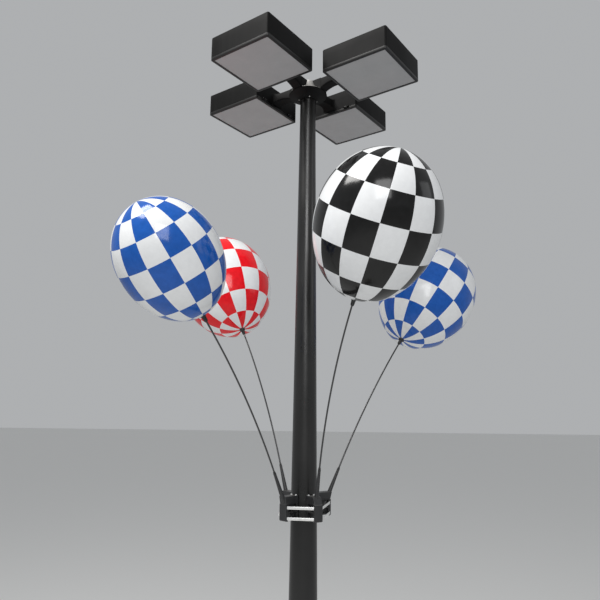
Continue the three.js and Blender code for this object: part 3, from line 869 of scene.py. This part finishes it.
def add_door(name, place):
    body = "door_" + name
    middles = (-HINGE.offset, HINGE.offset)
    form = joined(door_frame(), *hinge_parts(middles, HINGE.door, -HINGE.leaf, -FIT))
    add_piece("door_frame_" + name, moved(form, place), "door", body, body)
    screws = []
    for y in (-DOOR.screw, DOOR.screw):
        seat = pointing((0, 0, -1), (HALF_HEAD - 0.0075, y, HEAD.bottom + 0.0003))
        screws.append(moved(socket_screw(0.0052, 0.0026), place @ seat))
    add_piece("door_screws_" + name, joined(*screws), "door", body=body)
    reach = HINGE.door / 2 + HINGE.ear + 0.0015
    tip = reach - 0.0006
    pin = turned([(0.0022, -reach), (0.0028, -tip), (0.0028, tip), (0.0022, reach)], 20)
    pins = [moved(pin, place @ pointing((0, 1, 0), (HINGE_LINE, y, DOOR_TOP))) for y in middles]
    add_piece("door_pins_" + name, joined(*pins), "zinc", body=body)
    add_piece("door_mitres_" + name, moved(mitre_lines(), place), "mitre", body=body)
    add_piece("glass_" + name, moved(lens_pane(), place), "lens", "lens_" + name, body)


def add_heads():
    for name, turn in HEADS.items():
        add_piece("cast_arm_" + name, moved(arm_form(), spoke(turn)), "hub", "arm_" + name, smooth=50)
        place = spoke(turn, HEAD.centre)
        add_housing(name, place)
        add_lamp(name, place)
        add_door(name, place)


# Ring of brackets


def band_outline(extra):
    """A band's line round the brackets' corners, some way outside its inner face."""
    corners = [(BAND.reach - BAND.bend, side * (BRACKET.width / 2 + BAND.ease), 0) for side in (-1, 1)]
    points = []
    for each in SETS.values():
        for corner in corners:
            place = spoke(each.azimuth) @ shift(corner)
            points += [(place @ p).xy for p in circle(BAND.bend + extra, 0, 24)]
    return [points[i] for i in convex_hull_2d(points)]


def band_form(z):
    """A closed strip round the brackets, with softened edges."""
    high, low, thick = z + BAND.width / 2, z - BAND.width / 2, BAND.thickness
    down, side = 0.0007, 0.0004
    section = ((0, low + down), (side, low), (thick - side, low), (thick, low + down), (thick, high - down),
               (thick - side, high), (side, high), (0, high - down))
    return lofted([[Vector((*p, z)) for p in band_outline(extra)] for extra, z in section], closed=True)


def flat_run(first, second):
    """Azimuth and distance of the strap's outside between two brackets."""
    azimuths = [SETS[name].azimuth for name in (first, second)]
    reach = BAND.reach - BAND.bend
    side = BRACKET.width / 2 + BAND.ease
    half = radians(abs(azimuths[0] - azimuths[1]) / 2) - atan2(side, reach)
    return sum(azimuths) / 2, hypot(reach, side) * cos(half) + BAND.bend + BAND.thickness


def add_buckle(name, z, between):
    """Worm-drive clamp housing with its screw and the strap's free tail."""
    place = spoke(*flat_run(*between), z)
    housing = softened(block((0.013, CLAMP.width, 0.021), (0.0066, 0, 0)), 0.0025)
    barrel = turned([(0.006, -0.016), (0.0065, -0.015), (0.0065, 0.013), (0.006, 0.014)], 28)
    barrel = moved(barrel, pointing((0, 1, 0), (CLAMP.out, 0, 0)))
    tail = softened(block((0.0008, 0.062, 0.0125), (0.0006, 0.034, 0)), 0.0003, 2)
    screw = moved(hex_head(0.006, 0.006), pointing((0, -1, 0), (CLAMP.out, -0.0155, 0)))
    add_piece("clamp_" + name, moved(joined(housing, barrel, tail), place), "stainless", even=True)
    add_piece("clamp_screw_" + name, moved(screw, place), "zinc")


def add_bands():
    runs = (("rear", "right"), ("left", "rear"))
    for name, z, between in zip(("upper", "lower"), BAND.heights, runs):
        add_piece("strap_" + name, band_form(z), "stainless", "band_" + name, smooth=50)
        add_buckle(name, z, between)


def socket_axis(tilt):
    """Where a socket starts and the way it points, in the plane of its azimuth."""
    angle = radians(tilt)
    return Vector((SOCKET.radius, 0, SOCKET.base)), Vector((sin(angle), 0, cos(angle)))


def bracket_parts(tilt):
    """Pad, web, outer wall with its band slots, ribs and crest of the ribbed block."""
    b = BRACKET
    base, along = socket_axis(tilt)
    crest = max(base.x + (b.top - base.z) * along.x / along.z, b.outer - b.wall)
    inner = pole_radius(b.bottom) + FIT
    inner_high = pole_radius(b.top) + FIT
    near = BAND.reach - FIT
    far = BAND.reach + BAND.thickness + FIT
    wall = b.outer - b.wall
    pad = ((inner, b.bottom), (inner + b.pad, b.bottom), (inner + b.pad, b.top), (inner_high, b.top))
    back, face, foot, head = inner + 0.004, b.outer - 0.006, b.bottom + 0.004, b.top - 0.002
    web = ((back, foot), (face, foot), (face, b.shoulder), (crest - 0.003, head), (back, head))
    behind = ((wall, b.bottom), (near, b.bottom), (near, b.shoulder + 0.004), (wall, b.shoulder + 0.012))
    front = ((far, b.bottom + 0.001), (b.outer - b.chamfer * 0.6, b.bottom + 0.001),
             (b.outer, b.bottom + b.chamfer), (b.outer, b.shoulder), (far, b.shoulder + 0.006))
    top = ((inner_high + 0.003, b.ribs[2]), (wall + 0.002, b.ribs[2]), (b.outer - 0.004, b.shoulder),
           (crest, b.top), (inner_high + 0.003, b.top))
    forms = [softened(slab(pad, b.width), 0.0022), softened(slab(web, b.web), 0.0022),
             softened(slab(behind, b.width), 0.0012), softened(slab(front, b.width), 0.0016)]
    # the wall is solid except in the bands' two slots
    edges = [b.bottom]
    for z in sorted(BAND.heights):
        edges += [z - BAND.width / 2 - FIT, z + BAND.width / 2 + FIT]
    edges.append(b.shoulder)
    for low, high in zip(edges[::2], edges[1::2]):
        size = (far - near + 0.004, b.width - 0.004, high - low)
        forms.append(softened(block(size, ((near + far) / 2, 0, (low + high) / 2)), 0.0008, 2))
    for z in b.ribs:
        size = (wall - inner + 0.002, b.width - 0.003, b.rib)
        forms.append(softened(block(size, ((wall + inner) / 2, 0, z)), 0.0018))
    return forms + [softened(slab(top, b.width - 0.002), 0.003)]


def sleeve_form(tilt):
    """Tapered socket with a collar at its mouth."""
    base, along = socket_axis(tilt)
    length, bore = SOCKET.length, SOCKET.bore
    foot, tip = SOCKET.base_radius, SOCKET.top_radius
    profile = [(foot - 0.002, -SOCKET.floor), (foot, -SOCKET.floor + 0.002)]
    profile += [(foot + (tip - foot) * (i / 13), length * (i / 13)) for i in range(1, 13)]
    collar = tip + 0.0008
    profile += [(tip + 0.0002, length - 0.014), (collar, length - 0.012), (collar, length - 0.002),
                (tip, length), (bore + 0.0008, length), (bore, length - 0.001), (bore, 0)]
    return moved(turned(profile, 40), pointing(along, base))


def add_bracket(name, tilt, place):
    form = joined(sleeve_form(tilt), *bracket_parts(tilt))
    add_piece("holder_" + name, moved(form, place), "plastic", "bracket_" + name, even=True)
    bolts = []
    for y in (-BRACKET.bolt, BRACKET.bolt):
        seat = shift((pole_radius(BRACKET.top) + 0.016, y, BRACKET.top - 0.0005))
        washer = turned([(0.0085, 0), (0.0085, 0.0015)], 28)
        bolts += [moved(washer, seat), moved(hex_head(0.0068, 0.0055), seat @ shift((0, 0, 0.0015)))]
    add_piece("holder_bolts_" + name, moved(joined(*bolts), place), "stainless")


# Rods and balloons


def rod_at(each, distance, place=Matrix()):
    """The place at a distance along a rod, with Z along it."""
    base, along = socket_axis(each.tilt)
    straight = SOCKET.length + 0.002
    turning = radians(each.bend) / (ROD.length - straight)
    start = radians(each.tilt)
    lean = start + turning * max(distance - straight, 0)
    point = base + along * min(distance, straight)
    point += Vector(((cos(start) - cos(lean)) / turning, 0, (sin(lean) - sin(start)) / turning))
    return place @ shift(point) @ Matrix.Rotation(lean, 4, "Y")


def add_rod(name, each, place):
    body = "rod_" + name
    sides = ROD.sides
    rows = range(ROD.levels + 1)
    step = (ROD.length - FIT) / ROD.levels
    path = [rod_at(each, FIT + step * row).translation for row in rows]
    rod = moved(swept(path, ROD.radius, sides), place)
    # round the rod and back, so that the map has no seam, and along it
    spots = [(abs(2 * side / sides - 1), row) for row in rows for side in range(sides)]
    add_piece("rod_bow_" + name, rod, "fibreglass", body, body, marks=("fibres", spots))
    collar = turned([(0.0062, 0), (0.0085, 0.0005), (0.0088, 0.005), (0.007, 0.011), (0.0061, 0.0115)], 28)
    seat = rod_at(each, SOCKET.length + 0.001, place)
    add_piece("rod_collar_" + name, moved(collar, seat), "rubber", body=body)


def balloon_point(size, theta, turn):
    """A point of the balloon's skin, for an angle from its neck and a turn round it."""
    half = BALLOON.height * size / 2
    r = BALLOON.radius * size * sin(theta) * (1 - BALLOON.blunt * cos(theta))
    # the skin is pleated near its two ends
    ends = max(0, 1 - sin(theta) / 0.34)
    r *= 1 + 0.012 * ends * cos(BALLOON.pleats * turn) * min(1, sin(theta) / 0.1)
    return polar(max(r, BALLOON.neck if theta < 1 else 0.0005), turn, half - half * cos(theta))


def add_balloon(name, each, place):
    """A smooth shell whose map counts the check columns and rows."""
    columns = CHECKS.columns * CHECKS.steps
    levels = BALLOON.levels
    neck = asin(BALLOON.neck / (BALLOON.radius * each.size))
    points = []
    spots = []
    for level in range(levels + 1):
        theta = neck + (pi - 0.002 - neck) * level / levels
        row = (degrees(theta) - CHECKS.first_row) / CHECKS.row
        for column in range(columns + 1):
            turn = radians(each.start) + tau * column / columns
            points.append(place @ balloon_point(each.size, theta, turn))
            spots.append((column / CHECKS.steps, row))
    starts = [level * (columns + 1) + column for level in range(levels) for column in range(columns)]
    faces = [(a, a + 1, a + columns + 2, a + columns + 1) for a in starts]
    add_piece("envelope_" + name, (points, faces), each.colour, "balloon_" + name, "rod_" + name,
              smooth=180, marks=("checks", spots), weld=True)


def add_cup(name, place):
    """Moulded cup with grip ribs, and the ring round the neck."""
    body = "rod_" + name
    stem, sleeve, flange, plug = BALLOON.stem, CUP.sleeve, CUP.flange, CUP.plug
    profile = [
        (sleeve - 0.0012, -CUP.below), (sleeve, -CUP.below + 0.0012), (sleeve + 0.0006, -0.012),
        (sleeve + 0.002, CUP.flange_low - 0.006), (flange - 0.001, CUP.flange_low),
        (flange, CUP.flange_low + 0.001), (flange, stem - 0.0015), (flange - 0.0012, stem - FIT),
        (plug, stem - FIT), (plug, CUP.plug_top - 0.004), (plug - 0.004, CUP.plug_top),
    ]
    outline = ((0.009, -0.026), (0.0128, -0.024), (0.014, 0.004), (0.018, 0.0095), (0.011, 0.0095))
    fin = softened(slab(outline, 0.0022), 0.0006, 2)
    fins = [moved(fin, spoke(360 / CUP.fins * i)) for i in range(CUP.fins)]
    cup = joined(turned(profile, 40), *fins)
    add_piece("cup_body_" + name, moved(cup, place), "plastic", "cup_" + name, body)
    # radius, and height above the stem
    ring = ((0.0152, 0.0002), (0.0215, 0.0004), (0.0225, 0.002), (0.0215, 0.004), (0.018, 0.0052),
            (0.017, 0.012), (0.0152, 0.0125))
    collar = turned([(r, stem + z) for r, z in ring], 40, closed=True)
    add_piece("neck_ring_" + name, moved(collar, place), "neck", body=body)


def add_display():
    add_bands()
    for name, each in SETS.items():
        place = spoke(each.azimuth)
        add_bracket(name, each.tilt, place)
        add_rod(name, each, place)
        tip = rod_at(each, ROD.length, place)
        add_cup(name, tip)
        add_balloon(name, each, tip @ shift((0, 0, BALLOON.stem)))


# Studio


def add_camera():
    data = bpy.data.cameras.new("camera")
    data.lens = CAMERA.lens
    camera = add_object("camera", data)
    pitch = Matrix.Rotation(radians(90 + CAMERA.pitch), 4, "X")
    camera.matrix_world = shift(CAMERA.place) @ spoke(CAMERA.yaw) @ pitch @ spoke(CAMERA.roll)
    bpy.context.scene.camera = camera


def add_lights():
    for name, (place, aim, width, height, power, colour) in LIGHTS.items():
        light = bpy.data.lights.new(name, "AREA")
        light.shape = "RECTANGLE"
        light.size = width
        light.size_y = height
        light.energy = power
        light.color = colour
        add_object(name, light).matrix_world = pointing(Vector(place) - Vector(aim), place)


def add_stage():
    world = bpy.data.worlds.new("studio")
    world.use_nodes = True
    feed(world.node_tree.nodes["Background"], {"Color": WORLD.colour, "Strength": WORLD.strength})
    bpy.context.scene.world = world
    bpy.context.scene.view_settings.view_transform = "Standard"
    mesh = bpy.data.meshes.new("floor")
    corners = [(x * FLOOR.half, y * FLOOR.half, 0) for x, y in QUARTERS]
    mesh.from_pydata(corners, [], [(0, 1, 2, 3)])
    mesh.materials.append(new_look("floor", base_color=FLOOR.colour, roughness=FLOOR.roughness))
    add_object("floor", mesh)


add_camera()
add_lights()
add_stage()
add_pier()
add_grout()
add_base_plate()
add_pole()
add_handhole()
add_cap()
add_hub()
add_heads()
add_display()
